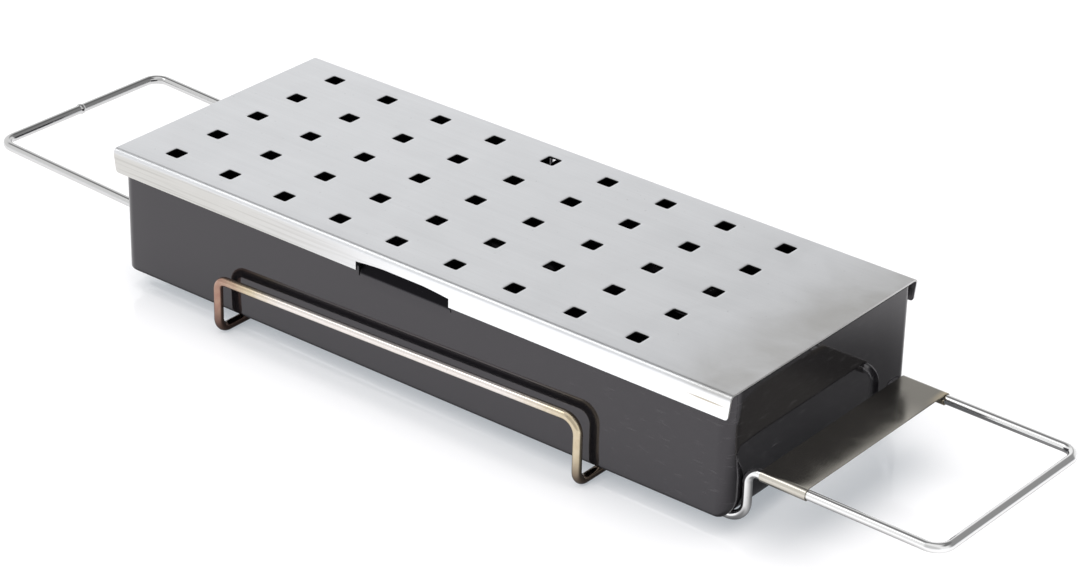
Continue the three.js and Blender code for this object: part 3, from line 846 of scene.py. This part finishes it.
def ring_point(way, half_x, half_y, corner):
    """X, Y from the middle of a rectangle with rounded corners, at places of its unrolled outline.

    way is a pair of arrays: the side or corner as a whole number from 0 to 7 with its share from 0 to 1.
    Even numbers are the straight sides right, back, left, front, and odd ones the corners after them.
    """
    number, part = way
    quarter, straight = number // 2, number % 2 == 0
    signs = np.array([(1, 1), (-1, 1), (-1, -1), (1, -1)])
    after, before = signs[quarter].T, signs[quarter - 1].T
    core_x, core_y = before + (after - before) * np.where(straight, part, 1)
    turn = (quarter + np.where(straight, 0, part)) * QUARTER
    x = core_x * (half_x - corner) + corner * np.cos(turn)
    return x, core_y * (half_y - corner) + corner * np.sin(turn)


def tray_walk(sizes):
    """Places round the tray's outline: dense in the corners and tabs, with one at each side of a slit."""
    core, half = TRAY_HALF[0] - sizes.tray_corner, sizes.notch_half
    beside, free = 0.02 * MM, 26 * MM
    marks = np.concatenate([
        [-half, beside - half, half - beside, half], (half - sizes.slit) * TAB_SHARES,
    ]) + (sizes.notch_middle - TRAY_MIDDLE)
    long_side = np.unique(np.concatenate([
        marks, np.linspace(-core, -free, 12), np.linspace(free, core, 12),
    ]).round(8))
    along = (long_side + core) / (2 * core)
    corner, end = np.linspace(0, 1, 13), np.linspace(0, 1, 11)
    places = [part[:-1] for part in (end, corner, 1 - along[::-1], corner, end, corner, along, corner)]
    return np.repeat(np.arange(8), [len(part) for part in places]), np.concatenate(places)


class TrayOperator(bpy.types.Operator):
    """Make the drawn tray with a leaning tab in each long wall."""

    bl_idname = "smoker_box.tray"
    bl_label = "Tray"

    def floor_edge(self, sizes, way):
        """How far the floor's edge is drawn in and how high it reaches, at places of the outline.

        It is one size along the long walls and another at each end, joined by a smooth step over each corner.
        """
        number, part = way
        rising = part * part * (3 - 2 * part)
        shares = [1.0, 1 - rising, rising]
        right = np.select([number == 0, number == 1, number == 7], shares, 0.0)
        left = np.select([number == 4, number == 5, number == 3], shares, 0.0)
        others = sizes.tray_round * (1 - right - left) + sizes.left_round * left
        return others + sizes.right_draw * right, others + sizes.right_lift * right

    def surface(self, sizes, way, inset, rise):
        """The tray's skin taken in by an inset: floor, quarter of an ellipse and wall, row by row upward.

        rise is 0 to 1 over the floor, 1 to 2 round the edge and 2 to 3 up the wall. In the gaps of the long
        walls the wall stops at the fold.
        """
        bottom, rise = TRAY_LOW[2], rise[:, None]
        edge, lift = self.floor_edge(sizes, way)
        turn = np.clip(rise - 1, 0, 1) * QUARTER
        taken = inset + (edge - inset) * (1 - np.sin(turn))
        x, y = ring_point(way, TRAY_HALF[0] - taken, TRAY_HALF[1] - taken, sizes.tray_corner - taken)
        in_notch = np.abs(x + TRAY_MIDDLE - sizes.notch_middle) < sizes.notch_half - 0.01 * MM
        in_gap = in_notch & (np.abs(y) > TRAY_HALF[1] * 0.9)
        high = np.where(in_gap, LID_LOW[2] - sizes.fold_below, TRAY_HIGH[2])
        on_edge = bottom + inset + (lift - inset) * (1 - np.cos(turn))
        z = np.where(rise > 2, bottom + lift + (rise - 2) * (high - bottom - lift), on_edge)
        shrink = np.clip(rise, None, 1)
        return np.stack([TRAY_MIDDLE + x * shrink, y * shrink, z], axis=-1)

    def tab(self, sizes, side, depth):
        """One leaning tab: columns along X, rows up the developed tab, its upper corners rounded.

        A point at a way w above the fold lies on the bend up to w = bend * lean, and beyond that on the flat.
        """
        fold = LID_LOW[2] - sizes.fold_below
        half, corner = sizes.notch_half - sizes.slit, sizes.tab_corner
        x = half * TAB_SHARES
        over = np.clip(np.abs(x) - (half - corner), 0, None)
        high = TRAY_HIGH[2] - fold - corner + np.sqrt(np.clip(corner**2 - over**2, 0, None))
        way = np.linspace(0, 1, TAB_ROWS)[:, None] ** 0.9 * high
        bend_way = sizes.tab_bend * sizes.tab_turn
        turn = np.clip(way / bend_way, 0, 1) * sizes.tab_turn
        up = np.clip(way - bend_way, 0, None)
        radius = sizes.tab_bend - depth
        y = TRAY_HALF[1] - sizes.tab_bend + radius * np.cos(turn) - up * np.sin(turn)
        z = fold + radius * np.sin(turn) + up * np.cos(turn)
        return np.stack([sizes.notch_middle + x + 0 * way, side * y, z], axis=-1)

    def execute(self, context):
        sizes = context.scene.smoker_sheets
        way = tray_walk(sizes)
        rise = np.concatenate([
            np.linspace(0.02, 1, 8), 1 + np.linspace(0, 1, 9)[1:], 2 + np.linspace(0, 1, 10)[1:],
        ])
        skins = []
        for inset in (0.0, sizes.tray_wall):
            skin = self.surface(sizes, way, inset, rise)
            tabs = [self.tab(sizes, side, inset).reshape(-1, 3) for side in (-1, 1)]
            skins.append(np.concatenate([skin.reshape(-1, 3), skin[:1].mean(axis=1), *tabs]))
        columns = len(way[0])
        centre = len(rise) * columns
        front_tab = grid_faces(TAB_ROWS, len(TAB_SHARES)) + centre + 1
        rear_tab = front_tab[:, ::-1] + TAB_ROWS * len(TAB_SHARES)
        faces = np.concatenate([
            grid_faces(len(rise), columns, wrap=True), cap(0, columns, centre), front_tab, rear_tab,
        ])
        faces, first = weld(skins[0], faces, 5e-6)
        points, faces = close_sheet(skins[0][first], skins[1][first], faces)
        piece = new_piece("chip_tray", points, faces, coat_material(context.scene.smoker_finish))
        round_edges(piece, 0.14 * MM, limit=50)
        carry(piece, "tray", "tray")
        return {"FINISHED"}


# Cradle

# Half axes of the weld beads where the loops cross
BEAD_HALF = np.array([2.5, 2.6, 2.0]) * MM
# The handle loop's closing weld: its collar's height as a share of the rail loop's, and its grey mark's reach
HANDLE_COLLAR, WELD_FADE = 0.9, 3.0 * MM


class RailOperator(bpy.types.Operator):
    """Make the lower wire loop: side rails, posts, cross runs and weld beads."""

    bl_idname = "smoker_box.rail_wire"
    bl_label = "Rail wire"

    def execute(self, context):
        sizes = context.scene.smoker_wires
        low = sizes.diameter / 2
        half = RAIL_HIGH[1] - low
        left, right = sizes.rail_left, sizes.rail_right
        left_high, right_high = sizes.rail_left_high, sizes.rail_right_high
        corners = [
            (left, 0, low), (left, -half, low), (left, -half, left_high), (right, -half, right_high),
            (right, -half, low), (right, half, low), (right, half, right_high), (left, half, left_high),
            (left, half, low),
        ]
        foot, left_bend, right_bend = sizes.foot_bend, sizes.rail_left_bend, sizes.rail_right_bend
        bends = [0, foot, left_bend, right_bend, foot, foot, right_bend, left_bend, foot]
        line, direction, way = centreline(corners, bends)
        collar = wire_radius(sizes.diameter, way[-1], sizes.collar_proud, sizes.collar_half, on_floor=True)
        points, faces = sweep(line, direction, way, collar)
        for x in (left, right):
            for side in (-1, 1):
                y = sizes.shift + x * math.tan(sizes.turn) + side * sizes.half / math.cos(sizes.turn)
                blob, blob_faces = bead(np.array([x, y, (sizes.run_high + low) / 2]), BEAD_HALF)
                faces = np.concatenate([faces, blob_faces + len(points)])
                points = np.concatenate([points, blob])
        piece = new_piece("rail_loop", points, faces, rail_material(context.scene.smoker_finish))
        carry(piece, "cradle", "rail_wire")
        return {"FINISHED"}


class HandleOperator(bpy.types.Operator):
    """Make the upper wire loop with its two grips and the collar where it is welded shut."""

    bl_idname = "smoker_box.handle_wire"
    bl_label = "Handle wire"

    def execute(self, context):
        sizes = context.scene.smoker_wires
        post, reach, half = sizes.post, sizes.reach, sizes.half
        low, high = sizes.run_high, sizes.handle_high
        left_high = high + (reach - post) * math.tan(sizes.left_rise)
        corners = [
            (-reach, 0, left_high), (-reach, half, left_high), (-post, half, high), (-post, half, low),
            (post, half, low), (post, half, high), (reach, half, high), (reach, -half, high),
            (post, -half, high), (post, -half, low), (-post, -half, low), (-post, -half, high),
            (-reach, -half, left_high),
        ]
        bend, grip, foot = sizes.post_bend, sizes.grip_bend, sizes.right_foot
        bends = [0, grip, bend, bend, foot, bend, grip, grip, bend, foot, bend, bend, grip]
        line, direction, way = centreline(corners, bends)
        collar = wire_radius(sizes.diameter, way[-1], HANDLE_COLLAR * sizes.collar_proud, sizes.collar_half)
        points, faces = sweep(line, direction, way, collar)
        near = np.exp(-(np.minimum(way, way[-1] - way) / WELD_FADE) ** 2)[:-1]
        mark = np.repeat(near, len(points) // len(near))
        look = wire_material(context.scene.smoker_finish)
        piece = new_piece("handle_loop", turned(points, sizes), faces, look, {"weld": mark})
        carry(piece, "cradle", "handle_wire")
        return {"FINISHED"}


class PlateOperator(bpy.types.Operator):
    """Make the thin plate that is rolled round both wires of the right handle."""

    bl_idname = "smoker_box.handle_plate"
    bl_label = "Handle plate"

    def section(self, wires, sheets, depth):
        """Y and Z of the plate's sheet in the loop's own frame: hem, flat, hem.

        A hem is an arc round its wire, and its angle runs from the rolled-in end up to the top. The flat
        joins both tops. depth is how far inside the outer surface the point lies.
        """
        radius = wires.diameter / 2 + sheets.hem_gap + sheets.plate_thick - depth
        turn = np.linspace(-sheets.hem_wrap, 0, 61)
        hem_y, hem_z = radius * np.sin(turn), radius * np.cos(turn)
        flat_y = np.linspace(-wires.half, wires.half, 25)[1:-1]
        y = np.concatenate([-wires.half + hem_y, flat_y, wires.half - hem_y[::-1]])
        z = wires.handle_high + np.concatenate([hem_z, np.full(len(flat_y), radius), hem_z[::-1]])
        return y, z

    def execute(self, context):
        wires, sheets = context.scene.smoker_wires, context.scene.smoker_sheets
        along = np.linspace(sheets.plate_from, sheets.plate_to, 11)[:, None]
        cosine, sine = math.cos(wires.turn), math.sin(wires.turn)
        skins = []
        for depth in (0.0, sheets.plate_thick):
            y, z = self.section(wires, sheets, depth)
            own_x = (along + y * sine) / cosine
            skins.append(np.stack([own_x, y + 0 * own_x, z + 0 * own_x], axis=-1).reshape(-1, 3))
        points, faces = close_sheet(*skins, grid_faces(len(along), len(y))[:, ::-1])
        look = plate_material(context.scene.smoker_finish)
        piece = new_piece("rolled_plate", turned(points, wires), faces, look)
        round_edges(piece, 0.10 * MM)
        carry(piece, "cradle", "handle_plate")
        return {"FINISHED"}


# Stage


def area_light(label, place, side, energy, mirrored):
    """A soft rectangular lamp at a place, facing the box. Mirrors show it only where mirrored is true."""
    data = bpy.data.lights.new(label, "AREA")
    data.shape = "RECTANGLE"
    data.size, data.size_y = side
    data.energy = energy
    lamp = bpy.data.objects.new(label, data)
    lamp.location = place
    box_middle = Vector((0, 0, 30 * MM))
    lamp.rotation_euler = (box_middle - Vector(place)).to_track_quat("-Z", "Y").to_euler()
    lamp.visible_glossy = mirrored
    bpy.context.scene.collection.objects.link(lamp)


def floor_material():
    """White glossy table: it is lit as it is, and what the camera and mirrors see of it is lifted to white.

    Mirrors see it dimmed by painted shade close under the box and beside its right end, under the handle.
    """
    look = Finish("white_floor")
    mirrored, seen = look.rays()
    # Painted shade in what mirrors see: the floor is dimmed close under the box and under the right handle
    off = look.vector("SUBTRACT", look.vector("ABSOLUTE", look.place), (150 * MM, 58 * MM, 0))
    off = look.vector("LENGTH", look.vector("MAXIMUM", off, (0, 0, 0)))
    dim = look.step(look.apart((185 * MM, 30 * MM, 0), (50 * MM, 90.9 * MM, 0)), 1.6, 0.6)
    clear = look.times(look.step(off, 0.0, 14 * MM), look.rest(dim))
    shown = look.rest(look.times(mirrored, look.rest(clear), 0.8))
    return look.dress({
        "Base Color": look.mix(shown, (0, 0, 0), TABLE_WHITE), "Roughness": 0.06, "IOR": 1.45,
        "Emission Color": TABLE_GLOW, "Emission Strength": look.times(seen, shown, 0.36),
    })


def studio_world():
    """White surroundings. Mirrors see them dimmer toward the back right, overhead and toward the front.

    Each dim zone is a product of smooth steps over the direction's own X, Y and Z.
    """
    world = bpy.data.worlds.new("soft_studio")
    world.use_nodes = True
    nodes = Nodes(world.node_tree)
    x, y, z = nodes.axes(nodes.add("ShaderNodeTexCoord")["Generated"])
    right = nodes.times(nodes.step(x, -0.57, -0.29), nodes.step(y, 0.0, 0.45), nodes.step(y, 0.90, 0.79))
    over = nodes.times(nodes.step(z, 0.56, 0.78), nodes.step(z, 0.97, 0.90), nodes.step(y, -0.22, 0.06))
    front = nodes.times(nodes.step(x, -0.45, -0.25), nodes.step(y, -0.40, -0.70))
    dim = nodes.chain("MAXIMUM", nodes.times(right, 0.68), nodes.times(over, 0.80), nodes.times(front, 0.30))
    mirrored, seen = nodes.rays()
    shown = nodes.rest(nodes.times(dim, mirrored))
    background = world.node_tree.nodes["Background"].inputs
    nodes.put((1, 1, 1), background["Color"])
    nodes.put(nodes.times(nodes.scaled(seen, 0.75, 1.0), shown), background["Strength"])
    return world


class StageOperator(bpy.types.Operator):
    """Make the floor, the lamps, the world and the photograph's camera."""

    bl_idname = "smoker_box.stage"
    bl_label = "Stage"

    def execute(self, context):
        scene = context.scene
        mesh = bpy.data.meshes.new("floor")
        far = 8.0
        mesh.from_pydata([(-far, -far, 0), (far, -far, 0), (far, far, 0), (-far, far, 0)], [], [(0, 1, 2, 3)])
        mesh.materials.append(floor_material())
        floor = bpy.data.objects.new("floor", mesh)
        scene.collection.objects.link(floor)
        area_light("front_softbox", (-0.4, -1.7, 1.5), (2.4, 1.8), 22, mirrored=False)
        area_light("top_softbox", (0.2, 0.2, 2.0), (1.8, 1.8), 23, mirrored=False)
        area_light("wire_softbox", (-1.15, -1.03, 1.73), (0.7, 0.7), 2.5, mirrored=True)
        scene.world = studio_world()
        data = bpy.data.cameras.new("photo_camera")
        wide, high = PHOTO_SIZE
        data.sensor_width = SENSOR
        data.lens = CAMERA_FOCUS / wide * SENSOR
        data.shift_x = (wide / 2 - CAMERA_CENTRE[0]) / wide
        data.shift_y = (CAMERA_CENTRE[1] - high / 2) / wide
        data.clip_start, data.clip_end = 0.05, 50
        camera = bpy.data.objects.new("photo_camera", data)
        axes = np.array([CAMERA_RIGHT, CAMERA_UP, CAMERA_BACK]).T
        camera.matrix_world = Matrix.Translation(CAMERA_AT) @ Matrix(axes.tolist()).to_4x4()
        scene.collection.objects.link(camera)
        scene.camera = camera
        scene.view_settings.view_transform = "Standard"
        return {"FINISHED"}


class BoxPanel(bpy.types.Panel):
    """Buttons for every piece, and the sizes and colours they use."""

    bl_idname = "VIEW3D_PT_smoker_box"
    bl_label = "Smoker box"
    bl_space_type = "VIEW_3D"
    bl_region_type = "UI"
    bl_category = "Smoker box"

    def draw(self, context):
        layout = self.layout
        for group in (context.scene.smoker_wires, context.scene.smoker_sheets, context.scene.smoker_finish):
            box = layout.box()
            for label in group.__annotations__:
                box.prop(group, label)
        for operator in PIECES:
            layout.operator(operator.bl_idname)


PIECES = (TrayOperator, LidOperator, RailOperator, HandleOperator, PlateOperator, StageOperator)
CLASSES = (WireSizes, SheetSizes, FinishColours, *PIECES, BoxPanel)


def register():
    """Registers the classes, hangs the settings on the scene and builds the shared node groups."""
    for one in CLASSES:
        bpy.utils.register_class(one)
    bpy.types.Scene.smoker_wires = PointerProperty(type=WireSizes)
    bpy.types.Scene.smoker_sheets = PointerProperty(type=SheetSizes)
    bpy.types.Scene.smoker_finish = PointerProperty(type=FinishColours)
    for build in (brushed_group, smudge_group, tint_group):
        build()


def unregister():
    """Takes the settings and the classes away again."""
    del bpy.types.Scene.smoker_finish
    del bpy.types.Scene.smoker_sheets
    del bpy.types.Scene.smoker_wires
    for one in reversed(CLASSES):
        bpy.utils.unregister_class(one)


def main():
    register()
    for operator in PIECES:
        group, name = operator.bl_idname.split(".")
        getattr(getattr(bpy.ops, group), name)()


if __name__ == "__main__":
    main()
